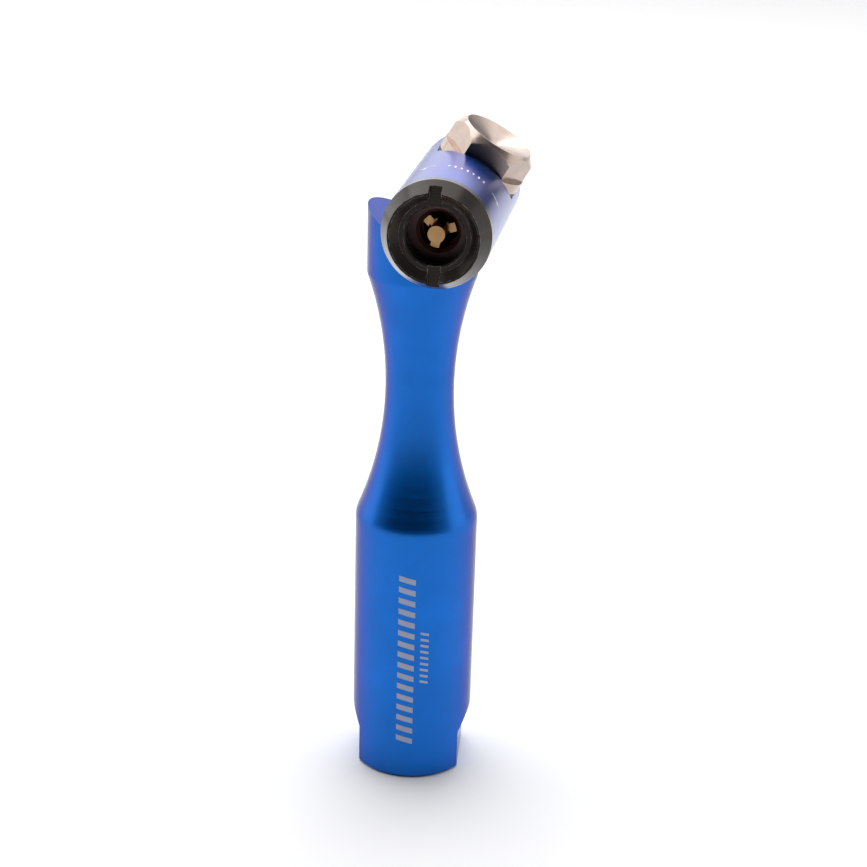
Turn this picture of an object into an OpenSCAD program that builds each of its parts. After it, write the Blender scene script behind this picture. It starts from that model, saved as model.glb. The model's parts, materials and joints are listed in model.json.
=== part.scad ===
// Hand-held tyre air chuck with a head that swivels a full turn about a tilted pivot bolt.
// Air goes up the handle, through the hollow bolt and out at the mouth of the head, past a sprung plunger.
// Origin: centre of the inlet face, at the foot of the handle. +Z runs up the handle.
// At rest the head points along -Y, and the pivot leans from +Z towards +X.

/* [Handle] */
// Diameter of the grip
grip_d = 19.05; // [18.9:0.05:20]
// Height at which the waist is narrowest
waist_z = 64; // [62:0.5:66]
// Diameter of the narrowest part of the waist
waist_d = 10.5; // [10.2:0.1:11.5]
// Radius of the hollow curve of the waist
waist_curve_r = 54; // [52:1:56]
// Diameter of the cylinder above the waist
top_d = 16.6; // [16:0.1:17]
// Radius that softens the edge between grip and waist
shoulder_round_r = 4; // [2:0.5:6]
// Distance across the two spanner flats at the foot
foot_flats = 15.9; // [15.6:0.1:16.4]
// Height of the spanner flats
foot_flat_h = 6.4; // [5:0.1:8]
// Turn of the spanner flats about the handle's axis, in degrees
foot_flat_turn = 5; // [0:1:90]
// Chamfer around the foot
foot_chamfer = 0.35; // [0.2:0.05:0.6]

/* [Inlet] */
// Diameter of the inlet wall, at the thread's pitch line
inlet_d = 12.4; // [12:0.1:12.6]
// Depth of the inlet thread
inlet_depth = 11; // [10:0.5:14]
// Diameter of the air passage up the handle
passage_d = 4.6; // [4:0.1:5]

/* [Pivot] */
// Lean of the pivot bolt from the handle's axis, in degrees
pivot_lean = 30; // [28:1:32]
// Height at which the bolt's axis crosses the handle's axis
pivot_cross_z = 84.6; // [84:0.1:85.5]
// Distance along the bolt from that crossing to the head's axis
pivot_reach = 10.9; // [10.6:0.1:11.2]
// Diameter of the bolt's smooth journal
journal_d = 8.4; // [8.2:0.1:8.6]
// Diameter of the bolt's thread in the handle
bolt_thread_d = 6; // [5.8:0.1:6.2]
// Distance across the flats of the bolt's hexagon
hex_flats = 11.1; // [10.8:0.1:11.4]
// Turn of the hexagon about the bolt, in degrees
hex_turn = 4; // [0:1:30]
// Diameter of the bolt's round flange
flange_d = 13; // [13:0.1:13.8]

/* [Head] */
// Diameter of the head
head_d = 15.4; // [15.2:0.1:15.8]
// Distance from the pivot to the front face of the head's body
head_front = 20.4; // [20.2:0.1:21]
// Distance from the pivot to the rear end of the head
head_rear = 9.2; // [8.8:0.1:10]
// Chamfer around the rear end
rear_chamfer = 1.5; // [0.5:0.1:2]

/* [Mouth] */
// Length of the collar in front of the head's body
collar_len = 3.5; // [3.3:0.1:3.8]
// Diameter of the collar's front rim
rim_d = 12.8; // [12.4:0.1:13.2]
// Diameter of the bore that guides the tyre valve
guide_d = 8.3; // [8.2:0.05:8.5]
// Distance from the rim back to the rubber gasket
gasket_depth = 4.2; // [4:0.1:4.4]
// Diameter of the hole through the gasket
gasket_hole_d = 5.3; // [5.2:0.05:5.6]
// Depth of the funnel that leads into the gasket's hole
gasket_lead = 0.5; // [0.2:0.1:0.8]
// Width of the spanner slot across the rim
slot_w = 1.8; // [1.4:0.1:2.2]

/* [Plunger] */
// Diameter of the pin that presses the tyre valve
pin_d = 2.4; // [2.2:0.1:2.5]
// Distance from the rim back to the end of the pin
pin_depth = 2.4; // [2.2:0.1:2.8]
// Travel of the plunger, from closed to open
plunger_travel = 1.8; // [1.2:0.1:1.8]
// Turn of the three guide legs about the pin, in degrees
leg_turn = 16.5; // [0:0.5:120]

/* [Hidden] */
$fn = 96;

anodised_blue = "#1f6fd0";
anodised_black = "#2a2826";
nickel = "#c9bdb2";
brass = "#c2a06a";
steel = "#a9adb2";
acetal = "#1d1d1f";
red_rubber = "#4a120c";
black_rubber = "#161616";

// Overshoot of a cut past the face that it opens
cut = 1;
// Overlap of two shapes that are one piece
weld = 0.3;
// Radial clearance of a running fit, and the gap at a thrust face
run_gap = 0.05;

// Handle, heights from the foot
grip_r = grip_d / 2;
top_r = top_d / 2;
waist_centre_x = waist_d / 2 + waist_curve_r;
top_round_r = 1.5;
blank_top_z = 96;
runout_slope = 2;
screen_seat_r = 5.4;
screen_seat_z = inlet_depth + 1.6;
screen_t = 0.4;
screen_pitch = 1.5;
screen_hole_r = 0.45;
passage_top_z = 78;

// Heights along the bolt's axis, counted from the head's axis, plus is away from the handle
face_t = 2.5 - pivot_reach;
boss_t = face_t + 0.4;
head_low_t = boss_t + 0.9;
spot_t = 4.3;
flange_low_t = spot_t + 0.6;
hex_low_t = flange_low_t + 1.6;
hex_top_t = hex_low_t + 3.95;
hex_side_top_t = hex_top_t - 1.58;
bolt_end_t = -17.4;
tap_end_t = bolt_end_t - 1.7;
upper_seal_t = 3;
lower_seal_t = -5;

// Radii and diameters about the bolt's axis
boss_r = 6.5;
journal_r = journal_d / 2;
bolt_thread_r = bolt_thread_d / 2;
bolt_bore_r = 1.4;
flange_r = flange_d / 2;
spot_r = flange_r + 0.4;
chamfer_top_r = hex_flats / 2 - 0.25;
dish_r = chamfer_top_r - 0.1;
dish_depth = 1.5;
port_d = 2.4;
port_groove_w = 3.4;
port_groove_r = 3.6;
seal_cord_d = 1.1;
seal_groove_w = 1.5;
seal_groove_r = journal_r - seal_cord_d - run_gap;
ring_cord_d = 0.7;
ring_pocket_r = 3.8;
ring_pocket_h = 0.8;

// Stations along the head's axis, counted forwards from the pivot
rim_a = head_front + collar_len;
gasket_a = rim_a - gasket_depth;
gasket_back_a = gasket_a - 2.2;
washer_back_a = gasket_back_a - 0.5;
seat_step_a = washer_back_a - 1;
seat_back_a = seat_step_a - 0.9;
socket_back_a = seat_back_a - 0.4;
chamber_back_a = spot_r + 1.5;
flat_front_a = 11;
collar_taper_a = head_front + 1.1;
mouth_ledge_a = rim_a - 1.1;
mouth_lead = 0.2;
collar_seal_w = 1.1;

// Radii about the head's axis
head_r = head_d / 2;
rim_r = rim_d / 2;
rim_land = 0.3;
mouth_ledge_r = 5;
guide_r = guide_d / 2;
slot_depth = 1.3;
socket_r = 6.4;
spigot_r = socket_r - run_gap;
seal_land_r = 5.9;
nest_r = 5.45;
nest_fit_r = nest_r - run_gap;
chamber_r = 4.6;
seat_bore_r = 2.5;
seat_lip_r = 3.3;
air_way_r = 2;

// Plunger, on the head's axis
pin_a = rim_a - pin_depth;
leg_r = seat_bore_r - run_gap;
leg_w = 1.25;
leg_front_a = gasket_a - 0.3;
leg_back_a = socket_back_a + 0.2;
leg_relief_w = 0.35;
leg_relief_h = 1.2;
stem_r = 1.3;
stem_fit_r = stem_r + run_gap;
seal_front_a = socket_back_a - run_gap;
seal_back_a = seal_front_a - 1;
plate_back_a = seal_back_a - 0.5;
clip_back_a = plate_back_a - 0.5;
stem_back_a = clip_back_a - 0.7;
seal_r = 4;
plate_r = 3.8;
clip_groove_r = 0.9;
clip_r = 2.1;
clip_mouth_w = 1.3;

// Return spring
spring_mean_r = 3.1;
spring_wire_r = 0.25;
spring_turns = 4.5;
spring_steps = 20;
spring_sides = 10;

// Puts a shape drawn about +Z onto the bolt's axis, with its zero on the head's axis
module on_bolt() {
    translate([0, 0, pivot_cross_z]) rotate([0, pivot_lean, 0]) translate([0, 0, pivot_reach]) children();
}

// Puts a shape drawn about +Z onto the head's axis, so that +Z becomes forwards
module on_head() {
    translate([pivot_reach * sin(pivot_lean), 0, pivot_cross_z + pivot_reach * cos(pivot_lean)])
        rotate([90, 0, 0]) children();
}

// A round bar from one station to another
module bar(r, from, to) {
    translate([0, 0, from]) cylinder(r = r, h = to - from);
}

// A ring from one station to another
module ring(outer_r, inner_r, from, to) {
    difference() {
        bar(outer_r, from, to);
        bar(inner_r, from - cut, to + cut);
    }
}

// A round cord bent into a ring
module cord_ring(mid_r, cord_d, at) {
    translate([0, 0, at]) rotate_extrude() translate([mid_r, 0]) circle(d = cord_d, $fn = 32);
}

// Centre height of the circle that rounds the edge between the waist curve and a cylinder
function edge_round_z(r, edge_r, side) =
    waist_z + side * sqrt(pow(waist_curve_r + edge_r, 2) - pow(waist_centre_x - r + edge_r, 2));

// What a rounded edge takes off the handle's outline, above the waist for side 1 and below it for side -1
module edge_round(r, edge_r, side) {
    centre = [r - edge_r, edge_round_z(r, edge_r, side)];
    to_waist = [waist_centre_x, waist_z] - centre;
    difference() {
        polygon([
            centre,
            centre + [2 * edge_r, 0],
            centre + [2 * edge_r, to_waist[1] * 2 * edge_r / norm(to_waist)],
            centre + to_waist * 2 * edge_r / norm(to_waist)
        ]);
        translate(centre) circle(r = edge_r);
    }
}

module handle_outline() {
    difference() {
        polygon([
            [0, 0], [grip_r - foot_chamfer, 0], [grip_r, foot_chamfer], [grip_r, waist_z],
            [top_r, waist_z], [top_r, blank_top_z], [0, blank_top_z]
        ]);
        translate([waist_centre_x, waist_z]) circle(r = waist_curve_r, $fn = 360);
        edge_round(grip_r, shoulder_round_r, -1);
        edge_round(top_r, top_round_r, 1);
    }
}

// The slice that one spanner flat takes off, with its sloping run-out
module flat_cut() {
    depth = grip_r - foot_flats / 2 + cut;
    rotate([90, 0, 0]) linear_extrude(height = 2 * grip_d, center = true)
        polygon([
            [foot_flats / 2, -cut], [foot_flats / 2, foot_flat_h],
            [foot_flats / 2 + depth, foot_flat_h + depth * runout_slope], [foot_flats / 2 + depth, -cut]
        ]);
}

module handle() {
    color(anodised_blue) difference() {
        union() {
            difference() {
                rotate_extrude() handle_outline();
                on_bolt() bar(top_d * 2, face_t, face_t + 2 * top_d);
            }
            on_bolt() bar(boss_r, face_t - cut, boss_t);
        }
        rotate([0, 0, foot_flat_turn]) {
            flat_cut();
            mirror([1, 0, 0]) flat_cut();
        }
        bar(inlet_d / 2, -cut, inlet_depth);
        bar(screen_seat_r, inlet_depth - cut, screen_seat_z);
        bar(passage_d / 2, inlet_depth, passage_top_z);
        on_bolt() bar(bolt_thread_r + run_gap, tap_end_t, boss_t + cut);
        on_bolt() bar(ring_pocket_r, boss_t - ring_pocket_h, boss_t + cut);
    }
}

// Fine screen that keeps grit out of the valve
module inlet_screen() {
    color(steel) difference() {
        bar(screen_seat_r - run_gap, screen_seat_z - screen_t, screen_seat_z);
        for (x = [-2 : 2], y = [-2 : 2])
            if (norm([x, y]) < 2.3)
                translate([x, y] * screen_pitch) bar(screen_hole_r, inlet_depth, screen_seat_z + cut);
    }
}

// Pressed ring that holds the screen in its seat
module screen_ring() {
    color(brass) ring(screen_seat_r - run_gap, screen_seat_r - 1.2, inlet_depth, screen_seat_z - screen_t);
}

module hex_head() {
    corner_r = hex_flats / 2 / cos(30);
    low = hex_low_t - weld;
    slope = (hex_top_t - hex_side_top_t) / (corner_r - chamfer_top_r);
    rotate([0, 0, hex_turn]) intersection() {
        translate([0, 0, low]) cylinder(r = corner_r, h = hex_top_t - low, $fn = 6);
        rotate_extrude() polygon([
            [0, low - cut], [corner_r + cut, low - cut], [corner_r + cut, hex_side_top_t - cut * slope],
            [chamfer_top_r, hex_top_t], [0, hex_top_t]
        ]);
    }
}

module pivot_bolt() {
    color(nickel) on_bolt() difference() {
        union() {
            hex_head();
            bar(flange_r, flange_low_t, hex_low_t);
            bar(journal_r, boss_t, flange_low_t + weld);
            bar(bolt_thread_r, bolt_end_t, boss_t + weld);
        }
        rotate_extrude() polygon([[0, hex_top_t - dish_depth], [dish_r, hex_top_t], [0, hex_top_t + cut]]);
        bar(bolt_bore_r, bolt_end_t - cut, port_d / 2);
        for (turn = [0, 90]) rotate([0, 90, turn]) cylinder(d = port_d, h = journal_d, center = true);
        ring(journal_d, port_groove_r, -port_groove_w / 2, port_groove_w / 2);
        for (at = [upper_seal_t, lower_seal_t])
            ring(journal_d, seal_groove_r, at - seal_groove_w / 2, at + seal_groove_w / 2);
    }
}

// Rubber ring under the bolt's shoulder, which closes the thread
module bolt_seal_ring() {
    mid_r = (ring_pocket_r + bolt_thread_r) / 2;
    color(black_rubber) on_bolt() cord_ring(mid_r, ring_cord_d, boss_t - ring_pocket_h / 2);
}

module lower_thrust_washer() {
    color(acetal) on_bolt() ring(boss_r, journal_r + run_gap, boss_t, head_low_t - run_gap);
}

module upper_thrust_washer() {
    color(acetal) on_bolt() ring(flange_r, journal_r + run_gap, spot_t + run_gap, flange_low_t);
}

module pivot_seal(at) {
    color(black_rubber) on_bolt() cord_ring(journal_r - seal_cord_d / 2, seal_cord_d, at);
}

module lower_pivot_seal() { pivot_seal(lower_seal_t); }

module upper_pivot_seal() { pivot_seal(upper_seal_t); }

module head_body() {
    color(anodised_blue) difference() {
        on_head() rotate_extrude() polygon([
            [0, -head_rear], [head_r - rear_chamfer, -head_rear], [head_r, rear_chamfer - head_rear],
            [head_r, head_front], [0, head_front]
        ]);
        on_head() bar(air_way_r, 0, chamber_back_a + cut);
        on_head() bar(chamber_r, chamber_back_a, seat_back_a);
        on_head() bar(socket_r, socket_back_a, head_front + cut);
        on_bolt() bar(journal_r + run_gap, -head_d, head_d);
        on_bolt() bar(spot_r, spot_t, head_d);
        on_bolt() translate([-head_d, -flat_front_a, -2 * head_d + head_low_t])
            cube([2 * head_d, flat_front_a + 2 * head_d, 2 * head_d]);
    }
}
module collar() {
    color(anodised_black) on_head() difference() {
        rotate_extrude() polygon([
            [nest_r, seat_step_a], [spigot_r, seat_step_a], [spigot_r, head_front - collar_seal_w],
            [seal_land_r, head_front - collar_seal_w], [seal_land_r, head_front + run_gap],
            [head_r, head_front + run_gap], [head_r, collar_taper_a], [rim_r, rim_a],
            [rim_r - rim_land, rim_a], [mouth_ledge_r, mouth_ledge_a],
            [guide_r + mouth_lead, mouth_ledge_a], [guide_r, mouth_ledge_a - mouth_lead],
            [guide_r, gasket_a], [nest_r, gasket_a]
        ]);
        translate([-slot_w / 2, -head_d, rim_a - slot_depth]) cube([slot_w, 2 * head_d, slot_depth + cut]);
    }
}

module collar_seal() {
    color(black_rubber) on_head()
        ring(spigot_r, seal_land_r + run_gap, head_front - collar_seal_w, head_front);
}

module valve_gasket() {
    hole_r = gasket_hole_d / 2;
    color(red_rubber) on_head() rotate_extrude() polygon([
        [hole_r, gasket_back_a], [nest_fit_r, gasket_back_a], [nest_fit_r, gasket_a],
        [hole_r + gasket_lead, gasket_a], [hole_r, gasket_a - gasket_lead]
    ]);
}

module gasket_washer() {
    color(brass) on_head() ring(nest_fit_r, seat_bore_r, washer_back_a, gasket_back_a);
}

module valve_seat() {
    color(brass) on_head() union() {
        ring(nest_fit_r, seat_bore_r, seat_step_a - weld, washer_back_a);
        ring(spigot_r, seat_bore_r, seat_back_a, seat_step_a);
        ring(seat_lip_r, seat_bore_r, socket_back_a, seat_back_a + weld);
    }
}

module seat_gasket() {
    color(black_rubber) on_head() ring(spigot_r, chamber_r, socket_back_a, seat_back_a);
}

module plunger() {
    color(brass) on_head() rotate([0, 0, leg_turn]) {
        bar(pin_d / 2, leg_back_a, pin_a);
        difference() {
            bar(stem_r, stem_back_a, leg_back_a + weld);
            ring(clip_r, clip_groove_r, clip_back_a, plate_back_a);
        }
        for (turn = [0, 120, 240]) rotate([0, 0, turn]) intersection() {
            translate([0, -leg_w / 2, leg_back_a]) cube([leg_r, leg_w, leg_front_a - leg_back_a]);
            difference() {
                bar(leg_r, leg_back_a, leg_front_a);
                bar(pin_d / 2 + leg_relief_w, leg_front_a - leg_relief_h, leg_front_a + cut);
            }
        }
    }
}

module plunger_seal() {
    color(black_rubber) on_head() ring(seal_r, stem_fit_r, seal_back_a, seal_front_a);
}

module plunger_washer() {
    color(brass) on_head() ring(plate_r, stem_fit_r, plate_back_a, seal_back_a);
}

module plunger_clip() {
    color(steel) on_head() difference() {
        ring(clip_r, clip_groove_r + run_gap, clip_back_a + run_gap, plate_back_a);
        translate([0, -clip_mouth_w / 2, clip_back_a - cut]) cube([clip_r + cut, clip_mouth_w, 3 * cut]);
    }
}

module return_spring() {
    low = chamber_back_a + spring_wire_r;
    high = plate_back_a - spring_wire_r;
    rings = spring_turns * spring_steps;
    points = [for (i = [0 : rings], j = [0 : spring_sides - 1])
        let (turn = 360 * i / spring_steps, round = 360 * j / spring_sides,
            r = spring_mean_r + spring_wire_r * cos(round),
            z = low + (high - low) * i / rings + spring_wire_r * sin(round))
        [r * cos(turn), r * sin(turn), z]];
    faces = [
        [for (j = [0 : spring_sides - 1]) j],
        [for (j = [spring_sides - 1 : -1 : 0]) rings * spring_sides + j],
        for (i = [0 : rings - 1], j = [0 : spring_sides - 1])
            let (a = i * spring_sides + j, b = i * spring_sides + (j + 1) % spring_sides)
            [a, a + spring_sides, b + spring_sides, b]
    ];
    color(steel) on_head() polyhedron(points, faces, convexity = 6);
}

handle();
inlet_screen();
screen_ring();
pivot_bolt();
bolt_seal_ring();
lower_thrust_washer();
upper_thrust_washer();
lower_pivot_seal();
upper_pivot_seal();
head_body();
collar();
collar_seal();
valve_gasket();
gasket_washer();
valve_seat();
seat_gasket();
plunger();
plunger_seal();
plunger_washer();
plunger_clip();
return_spring();
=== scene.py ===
import json
import math

import bmesh
import bpy
from mathutils import Matrix, Vector


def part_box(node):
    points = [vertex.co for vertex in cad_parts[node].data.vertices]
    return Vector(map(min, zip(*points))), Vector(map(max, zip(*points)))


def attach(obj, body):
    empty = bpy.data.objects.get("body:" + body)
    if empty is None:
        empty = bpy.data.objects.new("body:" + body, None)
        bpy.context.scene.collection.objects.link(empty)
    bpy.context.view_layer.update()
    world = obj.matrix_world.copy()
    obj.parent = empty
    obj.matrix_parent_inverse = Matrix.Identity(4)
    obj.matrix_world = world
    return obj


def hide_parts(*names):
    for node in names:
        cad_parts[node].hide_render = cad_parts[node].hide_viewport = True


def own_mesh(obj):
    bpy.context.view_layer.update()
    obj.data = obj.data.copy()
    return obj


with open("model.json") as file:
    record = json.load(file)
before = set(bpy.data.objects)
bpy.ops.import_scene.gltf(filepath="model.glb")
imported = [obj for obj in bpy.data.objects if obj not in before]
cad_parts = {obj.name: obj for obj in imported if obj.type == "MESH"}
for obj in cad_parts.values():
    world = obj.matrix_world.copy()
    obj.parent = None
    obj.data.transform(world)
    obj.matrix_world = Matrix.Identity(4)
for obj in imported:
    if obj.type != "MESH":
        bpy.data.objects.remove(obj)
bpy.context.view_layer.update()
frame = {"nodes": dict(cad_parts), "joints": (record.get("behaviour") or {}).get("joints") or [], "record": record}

bl_info = {
    "name": "Swivel-head tyre air chuck",
    "version": (1, 0, 0),
    "blender": (4, 5, 0),
    "location": "3D View > Sidebar > Air chuck",
    "description": "Finishes the pieces of a hand-held tyre air chuck and sets a plain studio around it",
    "category": "Object",
}

MM = 0.001
NODES = frame["nodes"]
JOINTS = {joint["name"]: joint for joint in frame["joints"]}
PIVOT = Vector(JOINTS["head_swivel"]["pos_m"])
PIVOT_AXIS = Vector(JOINTS["head_swivel"]["axis"])
FORWARD = -Vector(JOINTS["plunger_slide"]["axis"])


def axes_at(origin, up, side):
    """A frame with its Z along up and its X as near to side as a right angle allows."""
    z = up.normalized()
    x = (side - side.dot(z) * z).normalized()
    y = z.cross(x)
    return Matrix.Translation(origin) @ Matrix((x, y, z)).transposed().to_4x4()


HANDLE_FRAME = Matrix.Identity(4)
HEAD_FRAME = axes_at(PIVOT, FORWARD, PIVOT_AXIS)
BOLT_FRAME = axes_at(PIVOT, PIVOT_AXIS, FORWARD)


def linear(code):
    """An sRGB hex colour as the linear values that a shader takes."""
    values = [int(code[i:i + 2], 16) / 255 for i in (1, 3, 5)]
    return [v / 12.92 if v <= 0.04045 else ((v + 0.055) / 1.055) ** 2.4 for v in values] + [1.0]


# ---------------------------------------------------------------- settings

class AirChuckFinish(bpy.types.PropertyGroup):
    """Colours of the finishes and sizes of the marks."""
    blue: bpy.props.FloatVectorProperty(
        name="Anodised blue", description="Dye colour of the anodised handle and head",
        default=linear("#0064c0"), size=4, min=0.0, max=1.0, subtype="COLOR")
    black: bpy.props.FloatVectorProperty(
        name="Anodised black", description="Dye colour of the anodised collar",
        default=linear("#1b1512"), size=4, min=0.0, max=1.0, subtype="COLOR")
    nickel: bpy.props.FloatVectorProperty(
        name="Nickel", description="Colour of the plated pivot bolt",
        default=linear("#bdaba1"), size=4, min=0.0, max=1.0, subtype="COLOR")
    brass: bpy.props.FloatVectorProperty(
        name="Brass", description="Colour of the turned brass pieces",
        default=linear("#b28d62"), size=4, min=0.0, max=1.0, subtype="COLOR")
    red_rubber: bpy.props.FloatVectorProperty(
        name="Red rubber", description="Colour of the valve gasket",
        default=linear("#3f140f"), size=4, min=0.0, max=1.0, subtype="COLOR")
    grip_mark: bpy.props.FloatVectorProperty(
        name="Grip mark", description="Colour of the laser-etched bars on the grip",
        default=linear("#b4b9ce"), size=4, min=0.0, max=1.0, subtype="COLOR")
    head_mark: bpy.props.FloatVectorProperty(
        name="Head mark", description="Colour of the laser-etched arrows and ticks on the head",
        default=linear("#eceef6"), size=4, min=0.0, max=1.0, subtype="COLOR")
    edge_round: bpy.props.FloatProperty(
        name="Edge round", description="Radius that the finishing takes off a sharp edge",
        default=0.12 * MM, min=0.0, max=0.4 * MM, subtype="DISTANCE", unit="LENGTH")
    mark_height: bpy.props.FloatProperty(
        name="Mark height", description="Width of the row of bars on the grip, around it",
        default=2.6 * MM, min=1.0 * MM, max=6.0 * MM, subtype="DISTANCE", unit="LENGTH")
    mark_length: bpy.props.FloatProperty(
        name="Mark length", description="Length of the row of bars, along the grip",
        default=30.0 * MM, min=10.0 * MM, max=32.0 * MM, subtype="DISTANCE", unit="LENGTH")


class AirChuckStage(bpy.types.PropertyGroup):
    """Camera and studio."""
    turn: bpy.props.FloatProperty(
        name="Turn", description="Direction of the camera about the handle, from the front towards +X",
        default=math.radians(9.3), subtype="ANGLE", unit="ROTATION")
    height: bpy.props.FloatProperty(
        name="Height angle", description="How far the camera looks down",
        default=math.radians(22.19), subtype="ANGLE", unit="ROTATION")
    roll: bpy.props.FloatProperty(
        name="Roll", description="Tilt of the camera about its view, which leans the top to the right",
        default=math.radians(1.63), subtype="ANGLE", unit="ROTATION")
    distance: bpy.props.FloatProperty(
        name="Distance", description="Camera to the point that it looks at",
        default=291.4 * MM, subtype="DISTANCE", unit="LENGTH")
    aim_side: bpy.props.FloatProperty(
        name="Aim to the side", description="How far right of the handle's axis the camera looks",
        default=2.3 * MM, subtype="DISTANCE", unit="LENGTH")
    aim_height: bpy.props.FloatProperty(
        name="Aim height", description="Height that the camera looks at",
        default=55.9 * MM, subtype="DISTANCE", unit="LENGTH")
    view_angle: bpy.props.FloatProperty(
        name="View angle", description="Angle across the square picture",
        default=math.radians(25.82), subtype="ANGLE", unit="ROTATION")
    floor_size: bpy.props.FloatProperty(
        name="Floor size", description="Side of the pale floor",
        default=6.0, subtype="DISTANCE", unit="LENGTH")
    floor_colour: bpy.props.FloatVectorProperty(
        name="Floor", description="Colour of the floor",
        default=linear("#fbfbfc"), size=4, min=0.0, max=1.0, subtype="COLOR")


# ---------------------------------------------------------------- materials

# The range that most of a noise texture's values lie in
NOISE_LOW = 0.3
NOISE_HIGH = 0.7


def add(tree, kind, settings=None, **inputs):
    """Adds a node with its settings. An input takes a value, or a socket that is linked to it.

    An input is named with underscores for spaces, or as _2 for the one in place 2.
    """
    made = tree.nodes.new(kind)
    for key, value in (settings or {}).items():
        setattr(made, key, value)
    for key, value in inputs.items():
        place = made.inputs[int(key[1:]) if key[1:].isdigit() else key.replace("_", " ")]
        if isinstance(value, bpy.types.NodeSocket):
            tree.links.new(value, place)
        else:
            place.default_value = value
    return made


def new_material(name, **shader):
    """A material whose Principled shader has the given settings, named with underscores for spaces."""
    material = bpy.data.materials.new(name)
    material.use_nodes = True
    tree = material.node_tree
    principled = tree.nodes["Principled BSDF"]
    for key, value in shader.items():
        principled.inputs[key.replace("_", " ")].default_value = value
    return material, tree, principled


def feed(tree, shader, **sockets):
    """Links sockets to a shader's inputs, named as in new_material."""
    for key, socket in sockets.items():
        tree.links.new(socket, shader.inputs[key.replace("_", " ")])


def shades(colour, *factors):
    """Darker or paler copies of a colour."""
    return [[min(1.0, factor * value) for value in colour[:3]] + [1.0] for factor in factors]


def place_in(tree, matrix):
    """Coordinates in metres in a piece's own frame, with Z along the axis that it was turned about."""
    where = add(tree, "ShaderNodeTexCoord")
    mapped = add(tree, "ShaderNodeMapping", {"vector_type": "TEXTURE"}, Vector=where.outputs["Object"],
                 Location=matrix.translation, Rotation=matrix.to_euler())
    return mapped.outputs["Vector"]


def lathe_lines(tree, where, pitch):
    """Uneven rings about the axis, from 0 to 1, such as a turning tool leaves on both sides and ends."""
    parts = add(tree, "ShaderNodeSeparateXYZ", Vector=where)
    flat = add(tree, "ShaderNodeCombineXYZ", X=parts.outputs["X"], Y=parts.outputs["Y"])
    radius = add(tree, "ShaderNodeVectorMath", {"operation": "LENGTH"}, Vector=flat.outputs["Vector"])
    path = add(tree, "ShaderNodeMath", {"operation": "ADD"},
               _0=parts.outputs["Z"], _1=radius.outputs["Value"])
    noise = add(tree, "ShaderNodeTexNoise", {"noise_dimensions": "1D"}, W=path.outputs["Value"],
                Scale=1.0 / pitch, Detail=2.0, Roughness=0.6)
    return noise.outputs["Fac"]


def mottled(tree, where, size, first, second, detail=3.0):
    """A colour that drifts from first to second in patches of the given size, and their pattern, 0 to 1."""
    cloud = add(tree, "ShaderNodeTexNoise", Vector=where, Scale=1 / size, Detail=detail)
    share = add(tree, "ShaderNodeMapRange", Value=cloud.outputs["Fac"],
                From_Min=NOISE_LOW, From_Max=NOISE_HIGH)
    mixed = add(tree, "ShaderNodeMix", {"data_type": "RGBA"}, _0=share.outputs["Result"], _6=first, _7=second)
    return mixed.outputs[2], cloud.outputs["Fac"]


def edge_wear_and_highlight(tree, radius):
    """1 on a sharp edge and 0 on the flat, from the angle between the face and its rounded normal: where bare
    metal wears through on anodised pieces, and where a highlight is painted on turned ones.
    """
    rounded = add(tree, "ShaderNodeBevel", {"samples": 6}, Radius=radius)
    plain = add(tree, "ShaderNodeNewGeometry")
    likeness = add(tree, "ShaderNodeVectorMath", {"operation": "DOT_PRODUCT"},
                   _0=rounded.outputs["Normal"], _1=plain.outputs["Normal"])
    edge_share = add(tree, "ShaderNodeMapRange", Value=likeness.outputs["Value"],
               From_Min=0.90, From_Max=0.995, To_Min=1.0, To_Max=0.0)
    return edge_share.outputs["Result"]


def anodised(name, matrix, dye, slanted, metallic, roughness, oxide_index, edge_round):
    """Turned aluminium, etched satin, dyed and sealed.

    The dye takes light twice on a slanted path, so that the metal darkens there, and the clear oxide over it
    turns pale at a glancing angle: the eye sees a deep colour with soft pale edges.
    A fine feed leaves turning lines about 0.06 mm apart, and they are drawn at 0.3 mm, so that they show.
    """
    line_pitch = 0.3 * MM
    line_depth = 0.004 * MM
    dye_patch = 9 * MM
    scuff_size = 0.8 * MM
    most_worn = 0.55
    material, tree, principled = new_material(
        name, Metallic=metallic, Specular_Tint=slanted, Coat_Weight=1.0, Coat_Roughness=0.2,
        Coat_IOR=oxide_index)
    where = place_in(tree, matrix)
    lines = lathe_lines(tree, where, line_pitch)
    deep, pale = shades(dye, 0.90, 1.08)
    tint, _ = mottled(tree, where, dye_patch, deep, pale)
    # Bare metal shows along the edges, in broken patches
    scuffs = add(tree, "ShaderNodeTexNoise", Vector=where, Scale=1 / scuff_size, Detail=4.0)
    patches = add(tree, "ShaderNodeMapRange", Value=scuffs.outputs["Fac"],
                  From_Min=0.42, From_Max=0.62, To_Min=0.0, To_Max=most_worn)
    wear = add(tree, "ShaderNodeMath", {"operation": "MULTIPLY"},
               _0=edge_wear_and_highlight(tree, edge_round), _1=patches.outputs["Result"])
    colour = add(tree, "ShaderNodeMix", {"data_type": "RGBA"},
                 _0=wear.outputs["Value"], _6=tint, _7=linear("#c9ccd2"))
    satin = add(tree, "ShaderNodeMapRange", Value=lines, From_Min=NOISE_LOW, From_Max=NOISE_HIGH,
                To_Min=roughness - 0.04, To_Max=roughness + 0.05)
    relief = add(tree, "ShaderNodeBump", Height=lines, Distance=line_depth, Strength=0.2)
    feed(tree, principled, Base_Color=colour.outputs[2], Roughness=satin.outputs["Result"],
         Normal=relief.outputs["Normal"])
    return material


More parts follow.
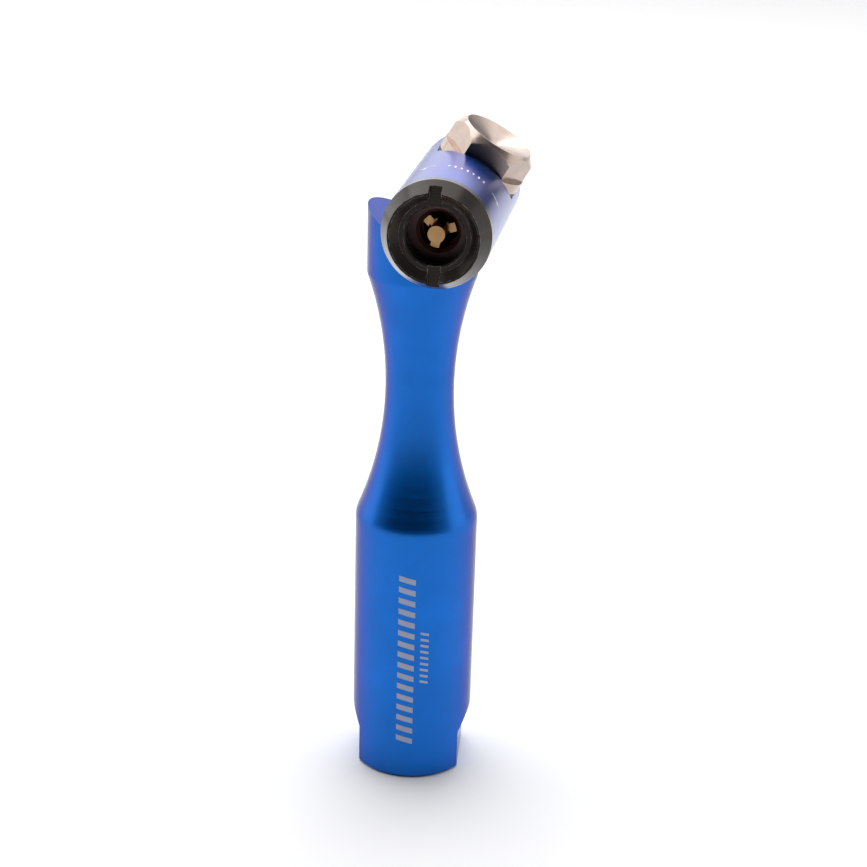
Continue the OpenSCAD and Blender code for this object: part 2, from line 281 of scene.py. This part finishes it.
def turned_metal(name, matrix, colour, roughness, pitch, depth):
    """Bright turned metal. Fine rings spread the highlight across the cut, and a painted highlight pales the sharp
    edges.

    A fine feed leaves rings about 0.06 mm apart. The pitch is about three times that, so that they show.
    """
    tarnish_patch = 3 * MM
    edge_radius = 0.08 * MM
    material, tree, principled = new_material(name, Metallic=1.0)
    where = place_in(tree, matrix)
    lines = lathe_lines(tree, where, pitch)
    dull, bright = shades(colour, 0.82, 1.25)
    tint, _ = mottled(tree, where, tarnish_patch, dull, colour)
    # Painted highlight: sharp edges take a paler copy of the colour, as if they caught the light
    painted_edge_highlight = add(tree, "ShaderNodeMix", {"data_type": "RGBA"},
                _0=edge_wear_and_highlight(tree, edge_radius), _6=tint, _7=bright)
    polish = add(tree, "ShaderNodeMapRange", Value=lines, From_Min=NOISE_LOW, From_Max=NOISE_HIGH,
                 To_Min=roughness - 0.05, To_Max=roughness + 0.07)
    relief = add(tree, "ShaderNodeBump", Height=lines, Distance=depth, Strength=0.6)
    feed(tree, principled, Base_Color=painted_edge_highlight.outputs[2], Roughness=polish.outputs["Result"],
         Normal=relief.outputs["Normal"])
    return material


def moulded(name, matrix, colour, roughness, grain):
    """Moulded rubber or machined plastic: a soft broad highlight over a fine pebbled skin.

    The skin's grain is under 0.1 mm on such pieces and is drawn several times as coarse, so that it shows.
    """
    pebble_depth = 0.01 * MM
    material, tree, principled = new_material(name, Metallic=0.0)
    where = place_in(tree, matrix)
    (dark,) = shades(colour, 0.7)
    tint, pebbles = mottled(tree, where, grain, dark, colour, detail=4.0)
    sheen = add(tree, "ShaderNodeMapRange", Value=pebbles, From_Min=NOISE_LOW, From_Max=NOISE_HIGH,
                To_Min=roughness - 0.08, To_Max=roughness + 0.08)
    relief = add(tree, "ShaderNodeBump", Height=pebbles, Distance=pebble_depth, Strength=0.5)
    feed(tree, principled, Base_Color=tint, Roughness=sheen.outputs["Result"],
         Normal=relief.outputs["Normal"])
    return material


def etched_metal(name, colour):
    """Laser-etched aluminium: the beam burns the dye away and leaves a pale, dry, finely pitted surface.

    A pit is about as wide as the beam. The pits have no direction, so one frame does for every mark.
    """
    pit_size = 0.08 * MM
    material, tree, principled = new_material(name, Metallic=0.35)
    where = place_in(tree, HANDLE_FRAME)
    (dark,) = shades(colour, 0.75)
    tint, pits = mottled(tree, where, pit_size, dark, colour)
    dryness = add(tree, "ShaderNodeMapRange", Value=pits, From_Min=NOISE_LOW, From_Max=NOISE_HIGH,
                  To_Min=0.45, To_Max=0.7)
    feed(tree, principled, Base_Color=tint, Roughness=dryness.outputs["Result"])
    return material


def coat_node(name, material):
    """Gives a piece of the frame its finish."""
    piece = NODES[name]
    piece.data.materials.clear()
    piece.data.materials.append(material)


# ---------------------------------------------------------------- mesh helpers

def mesh_piece(name, bm, body, material):
    """Turns built geometry into a named piece that rides on a body."""
    bmesh.ops.recalc_face_normals(bm, faces=bm.faces)
    mesh = bpy.data.meshes.new(name)
    bm.to_mesh(mesh)
    bm.free()
    mesh.materials.append(material)
    piece = bpy.data.objects.new(name, mesh)
    bpy.context.scene.collection.objects.link(piece)
    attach(piece, body)
    return piece


def closed_bar(bm, rows):
    """Joins rows of four corners into a bar with closed ends."""
    for first, second in zip(rows, rows[1:]):
        for i in range(4):
            j = (i + 1) % 4
            bm.faces.new((first[i], first[j], second[j], second[i]))
    bm.faces.new(rows[0])
    bm.faces.new(rows[-1][::-1])


def wrapped_plate(bm, matrix, radius, columns, thickness):
    """A thin plate wrapped on a cylinder. Each column is (angle, lowest z, highest z) in its frame."""
    rows = []
    for angle, low, high in columns:
        corners = []
        for r, z in ((radius, low), (radius, high), (radius + thickness, high), (radius + thickness, low)):
            corners.append(bm.verts.new(matrix @ Vector((r * math.cos(angle), r * math.sin(angle), z))))
        rows.append(corners)
    closed_bar(bm, rows)


def columns_between(start, end, steps, low, high):
    """Columns over an arc, where low and high are functions of how far along it, from 0 to 1."""
    return [(start + (end - start) * i / steps, low(i / steps), high(i / steps)) for i in range(steps + 1)]


# ---------------------------------------------------------------- operators

# A mark's plate starts a little under the surface and stands a little above it
MARK_SINK = 0.02 * MM
MARK_LIFT = 0.012 * MM


class AIRCHUCK_OT_handle(bpy.types.Operator):
    """Finish the handle: anodise it, etch its marks and cut its inlet thread"""
    bl_idname = "air_chuck.handle"
    bl_label = "Handle"

    def execute(self, context):
        finish = context.scene.air_chuck_finish
        blue = anodised("satin_anodised_aluminium_handle", HANDLE_FRAME, finish.blue[:],
                        slanted=linear("#003063"), metallic=1.0, roughness=0.34, oxide_index=1.25,
                        edge_round=finish.edge_round)
        coat_node("handle", blue)
        etched = etched_metal("laser_etched_aluminium_handle", finish.grip_mark[:])
        self.grip_bars("grip_bars_long", etched, middle=math.radians(-87.0), width=finish.mark_height,
                       length=finish.mark_length, count=16, foot=6.6 * MM, share=0.5)
        self.grip_bars("grip_bars_short", etched, middle=math.radians(-69.5), width=1.3 * MM,
                       length=9.5 * MM, count=9, foot=17.3 * MM, share=0.4)
        self.inlet_thread(blue)
        return {"FINISHED"}

    def grip_bars(self, name, material, middle, width, length, count, foot, share):
        """A row of slanted bars up the grip. Each bar takes its share of the row's pitch."""
        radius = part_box("handle")[1].y - MARK_SINK
        pitch = length / count
        half = width / radius / 2
        slant = 0.25 * width
        bm = bmesh.new()
        for i in range(count):
            base = foot + i * pitch
            wrapped_plate(bm, HANDLE_FRAME, radius, columns_between(
                middle - half, middle + half, 8,
                lambda s, z=base: z - slant * (s - 0.5),
                lambda s, z=base: z - slant * (s - 0.5) + share * pitch), MARK_SINK + MARK_LIFT)
        mesh_piece(name, bm, "handle_group", material)

    def inlet_thread(self, material):
        """A parallel ridge like that of a pipe thread of 18 turns to the inch, along the inlet's wall."""
        inlet = next(mount for mount in frame["record"]["mounts"] if mount["name"] == "inlet")["dims"]
        wall = inlet["r_mm"] * MM
        buried = wall + 0.01 * MM
        pitch = 25.4 * MM / 18
        crest = 0.55 * MM
        steps = 72
        turns = int((inlet["length_mm"] * MM - 2 * pitch) / pitch)
        bm = bmesh.new()
        rows = []
        for i in range(turns * steps + 1):
            angle = 2 * math.pi * i / steps
            middle = pitch * (i / steps + 1.0)
            # The ridge rises over its first turn and fades over its last
            tip = wall - crest * min(1.0, i / steps, (turns * steps - i) / steps)
            outline = ((buried, -0.45), (tip, -0.05), (tip, 0.05), (buried, 0.45))
            rows.append([
                bm.verts.new((r * math.cos(angle), r * math.sin(angle), middle + side * pitch))
                for r, side in outline])
        closed_bar(bm, rows)
        mesh_piece("inlet_thread", bm, "handle_group", material).data.shade_smooth()


class AIRCHUCK_OT_pivot_bolt(bpy.types.Operator):
    """Finish the pivot bolt: nickel plate over turned steel"""
    bl_idname = "air_chuck.pivot_bolt"
    bl_label = "Pivot bolt"

    def execute(self, context):
        finish = context.scene.air_chuck_finish
        nickel = turned_metal("nickel_plated_turned_steel", BOLT_FRAME, finish.nickel[:],
                              roughness=0.20, pitch=0.18 * MM, depth=0.003 * MM)
        coat_node("pivot_bolt", nickel)
        return {"FINISHED"}


class AIRCHUCK_OT_head(bpy.types.Operator):
    """Finish the head: anodise it and etch the marks that show it turns"""
    bl_idname = "air_chuck.head"
    bl_label = "Head"

    def execute(self, context):
        finish = context.scene.air_chuck_finish
        blue = anodised("satin_anodised_aluminium_head", HEAD_FRAME, finish.blue[:],
                        slanted=linear("#0059ab"), metallic=1.0, roughness=0.32, oxide_index=1.9,
                        edge_round=finish.edge_round)
        coat_node("head_body", blue)
        etched = etched_metal("laser_etched_aluminium_head", finish.head_mark[:])
        self.turn_marks(etched)
        return {"FINISHED"}

    def turn_marks(self, material):
        """Two slim arrows that point opposite ways around the head, with a row of ticks between them."""
        low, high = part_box("head_body")
        radius = (high.x - low.x) / 2 - MARK_SINK
        thickness = MARK_SINK + MARK_LIFT
        station = 13.8 * MM
        middle = math.radians(8.0)
        reach = math.radians(20.0)
        gap = math.radians(14.0)
        shaft = math.radians(11.0)
        point = math.radians(7.0)
        line = 0.1 * MM
        wide = 0.45 * MM
        for name, side in (("turn_arrow_left", 1), ("turn_arrow_right", -1)):
            start = middle + side * (reach + gap)
            neck = start + side * shaft
            bm = bmesh.new()
            wrapped_plate(bm, HEAD_FRAME, radius, columns_between(
                start, neck, 8, lambda s: station - line, lambda s: station + line), thickness)
            # 1.02, so that the point keeps a little width and its last face some area
            wrapped_plate(bm, HEAD_FRAME, radius, columns_between(
                neck, neck + side * point, 6,
                lambda s: station - wide * (1.02 - s), lambda s: station + wide * (1.02 - s)), thickness)
            mesh_piece(name, bm, "head_group", material)
        count = 7
        half = math.radians(1.0)
        bm = bmesh.new()
        for i in range(count):
            angle = middle + reach * (1 - 2 * i / (count - 1))
            tall = (0.45 if i % 2 else 0.3) * MM
            wrapped_plate(bm, HEAD_FRAME, radius, columns_between(
                angle - half, angle + half, 2,
                lambda s, t=tall: station - t, lambda s, t=tall: station + t), thickness)
        mesh_piece("turn_ticks", bm, "head_group", material)


class AIRCHUCK_OT_collar(bpy.types.Operator):
    """Finish the collar: black anodised turned aluminium"""
    bl_idname = "air_chuck.collar"
    bl_label = "Collar"

    def execute(self, context):
        finish = context.scene.air_chuck_finish
        # The dye fills the oxide so densely that no metal shines through, so it isn't metallic
        black = anodised("bright_black_anodised_aluminium", HEAD_FRAME, finish.black[:],
                         slanted=linear("#8f7d70"), metallic=0.0, roughness=0.26, oxide_index=1.2,
                         edge_round=finish.edge_round)
        coat_node("collar", black)
        return {"FINISHED"}


class AIRCHUCK_OT_mouth(bpy.types.Operator):
    """Finish what shows in the mouth: the rubber gasket and the brass plunger behind it"""
    bl_idname = "air_chuck.mouth"
    bl_label = "Mouth"

    def execute(self, context):
        finish = context.scene.air_chuck_finish
        red = moulded("moulded_red_nitrile_rubber", HEAD_FRAME, finish.red_rubber[:],
                      roughness=0.5, grain=0.4 * MM)
        coat_node("valve_gasket", red)
        brass = turned_metal("turned_brass", HEAD_FRAME, finish.brass[:],
                             roughness=0.33, pitch=0.15 * MM, depth=0.004 * MM)
        for name in ("plunger", "plunger_washer"):
            coat_node(name, brass)
        # Painted shade: the seat and its washer lie deep in the mouth, and their brass is darkened to stand for
        # the shade that falls there
        shade_darkened_brass = turned_metal("shade_darkened_turned_brass", HEAD_FRAME, linear("#4a2f1c"),
                                 roughness=0.45, pitch=0.15 * MM, depth=0.004 * MM)
        for name in ("gasket_washer", "valve_seat"):
            coat_node(name, shade_darkened_brass)
        return {"FINISHED"}


class AIRCHUCK_OT_inner_pieces(bpy.types.Operator):
    """Finish the pieces that the handle and head hide: seals, washers, clip, spring and inlet screen"""
    bl_idname = "air_chuck.inner_pieces"
    bl_label = "Inner pieces"

    def execute(self, context):
        finish = context.scene.air_chuck_finish
        rubber = moulded("moulded_black_nitrile_rubber", HEAD_FRAME, linear("#171615"),
                         roughness=0.5, grain=0.4 * MM)
        for name in ("bolt_seal_ring", "lower_pivot_seal", "upper_pivot_seal", "collar_seal", "seat_gasket",
                     "plunger_seal"):
            coat_node(name, rubber)
        acetal = moulded("machined_black_acetal", BOLT_FRAME, linear("#202022"),
                         roughness=0.42, grain=0.6 * MM)
        for name in ("lower_thrust_washer", "upper_thrust_washer"):
            coat_node(name, acetal)
        spring_steel = turned_metal("bright_drawn_spring_steel", HEAD_FRAME, linear("#b9bcc0"),
                                    roughness=0.28, pitch=0.2 * MM, depth=0.002 * MM)
        for name in ("return_spring", "plunger_clip", "inlet_screen"):
            coat_node(name, spring_steel)
        self.spring_coil(context)
        inlet_brass = turned_metal("turned_brass_inlet", HANDLE_FRAME, finish.brass[:],
                                   roughness=0.35, pitch=0.15 * MM, depth=0.004 * MM)
        coat_node("screen_ring", inlet_brass)
        return {"FINISHED"}

    def spring_coil(self, context):
        """The return spring as a copy of its own that rides on the head, in place of the frame's piece."""
        node = NODES["return_spring"]
        coil = bpy.data.objects.new("return_spring_coil", node.data.copy())
        context.scene.collection.objects.link(coil)
        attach(coil, "head_group")
        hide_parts("return_spring")
        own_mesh(coil)


class AIRCHUCK_OT_stage(bpy.types.Operator):
    """Set a pale floor, soft studio light and the camera"""
    bl_idname = "air_chuck.stage"
    bl_label = "Stage"

    def execute(self, context):
        stage = context.scene.air_chuck_stage
        self.floor(context, stage)
        self.lights(context)
        self.world(context)
        self.camera(context, stage)
        context.scene.view_settings.view_transform = "Standard"
        return {"FINISHED"}

    def floor(self, context, stage):
        """A pale paper floor, with a 2 mm grain that is only just darker than its colour."""
        paper_grain = 2 * MM
        bm = bmesh.new()
        bmesh.ops.create_grid(bm, x_segments=4, y_segments=4, size=stage.floor_size / 2)
        mesh = bpy.data.meshes.new("floor")
        bm.to_mesh(mesh)
        bm.free()
        floor = bpy.data.objects.new("floor", mesh)
        context.scene.collection.objects.link(floor)
        material, tree, principled = new_material("matt_paper_floor", Roughness=0.8)
        grain = add(tree, "ShaderNodeTexNoise", Scale=1 / paper_grain, Detail=2.0)
        (soft,) = shades(stage.floor_colour[:], 0.985)
        paper = add(tree, "ShaderNodeMix", {"data_type": "RGBA"},
                    _0=grain.outputs["Fac"], _6=soft, _7=stage.floor_colour[:])
        feed(tree, principled, Base_Color=paper.outputs[2])
        mesh.materials.append(material)

    def lights(self, context):
        """One broad soft light from above and behind, and a weak one on each side."""
        middle = Vector((0, 0, 60 * MM))
        for name, place, size, power in (
                ("overhead_softbox", (-0.10, 0.25, 0.75), 0.9, 5.0),
                ("left_softbox", (-0.75, 0.10, 0.25), 0.6, 0.9),
                ("right_softbox", (0.75, 0.10, 0.25), 0.6, 0.8)):
            data = bpy.data.lights.new(name, "AREA")
            data.shape = "RECTANGLE"
            data.size = size
            data.size_y = size
            data.energy = power
            light = bpy.data.objects.new(name, data)
            light.location = place
            light.rotation_euler = (middle - Vector(place)).to_track_quat("-Z", "Y").to_euler()
            context.scene.collection.objects.link(light)

    def world(self, context):
        """A room that is dark behind the camera and bright behind the object, but for a dark low corner.

        A direction has Y from -1 behind the camera to 1 behind the object, X to the right and Z up.
        """
        world = bpy.data.worlds.new("studio_room")
        world.use_nodes = True
        context.scene.world = world
        tree = world.node_tree
        where = add(tree, "ShaderNodeTexCoord")
        parts = add(tree, "ShaderNodeSeparateXYZ", Vector=where.outputs["Generated"])
        towards_sides = add(tree, "ShaderNodeMapRange", Value=parts.outputs["Y"],
                            From_Min=-0.75, From_Max=0.1)
        shade = add(tree, "ShaderNodeMix", {"data_type": "RGBA"},
                    _0=towards_sides.outputs["Result"], _6=linear("#1b1d22"), _7=linear("#ffffff"))
        # The corner's edge slopes, so that the dark reaches higher on the right
        above_corner = add(tree, "ShaderNodeMath", {"operation": "MULTIPLY_ADD"},
                           _0=parts.outputs["X"], _1=-0.6, _2=parts.outputs["Z"])
        wall = add(tree, "ShaderNodeMapRange", Value=above_corner.outputs["Value"],
                   From_Min=-0.05, From_Max=0.3, To_Min=0.12, To_Max=1.6)
        towards_back = add(tree, "ShaderNodeMapRange", Value=parts.outputs["Y"],
                           From_Min=0.3, From_Max=0.7)
        strength = add(tree, "ShaderNodeMix",
                       _0=towards_back.outputs["Result"], _2=0.7, _3=wall.outputs["Result"])
        feed(tree, tree.nodes["Background"], Color=shade.outputs[2], Strength=strength.outputs[0])

    def camera(self, context, stage):
        """A camera in front of the object, a little above it, that looks at its middle."""
        data = bpy.data.cameras.new("camera")
        data.sensor_fit = "HORIZONTAL"
        data.angle = stage.view_angle
        data.clip_start = 0.01
        camera = bpy.data.objects.new("camera", data)
        side = Vector((math.cos(stage.turn), math.sin(stage.turn), 0))
        back = Vector((math.sin(stage.turn) * math.cos(stage.height),
                       -math.cos(stage.turn) * math.cos(stage.height), math.sin(stage.height)))
        aim = side * stage.aim_side + Vector((0, 0, stage.aim_height))
        right = math.cos(stage.roll) * side + math.sin(stage.roll) * back.cross(side)
        camera.matrix_world = axes_at(aim + back * stage.distance, back, right)
        context.scene.collection.objects.link(camera)
        context.scene.camera = camera


class AIRCHUCK_PT_panel(bpy.types.Panel):
    """Finishing steps of the air chuck"""
    bl_idname = "AIRCHUCK_PT_panel"
    bl_label = "Air chuck"
    bl_space_type = "VIEW_3D"
    bl_region_type = "UI"
    bl_category = "Air chuck"

    def draw(self, context):
        for settings in (context.scene.air_chuck_finish, context.scene.air_chuck_stage):
            for key in settings.__annotations__:
                self.layout.prop(settings, key)
        for step in STEPS:
            self.layout.operator(step.bl_idname)


STEPS = (AIRCHUCK_OT_handle, AIRCHUCK_OT_pivot_bolt, AIRCHUCK_OT_head, AIRCHUCK_OT_collar, AIRCHUCK_OT_mouth,
         AIRCHUCK_OT_inner_pieces, AIRCHUCK_OT_stage)
CLASSES = (AirChuckFinish, AirChuckStage) + STEPS + (AIRCHUCK_PT_panel,)


def register():
    for cls in CLASSES:
        bpy.utils.register_class(cls)
    bpy.types.Scene.air_chuck_finish = bpy.props.PointerProperty(type=AirChuckFinish)
    bpy.types.Scene.air_chuck_stage = bpy.props.PointerProperty(type=AirChuckStage)


def unregister():
    del bpy.types.Scene.air_chuck_stage
    del bpy.types.Scene.air_chuck_finish
    for cls in reversed(CLASSES):
        bpy.utils.unregister_class(cls)


def main():
    register()
    for step in STEPS:
        group, action = step.bl_idname.split(".")
        getattr(getattr(bpy.ops, group), action)()


if __name__ == "__main__":
    main()
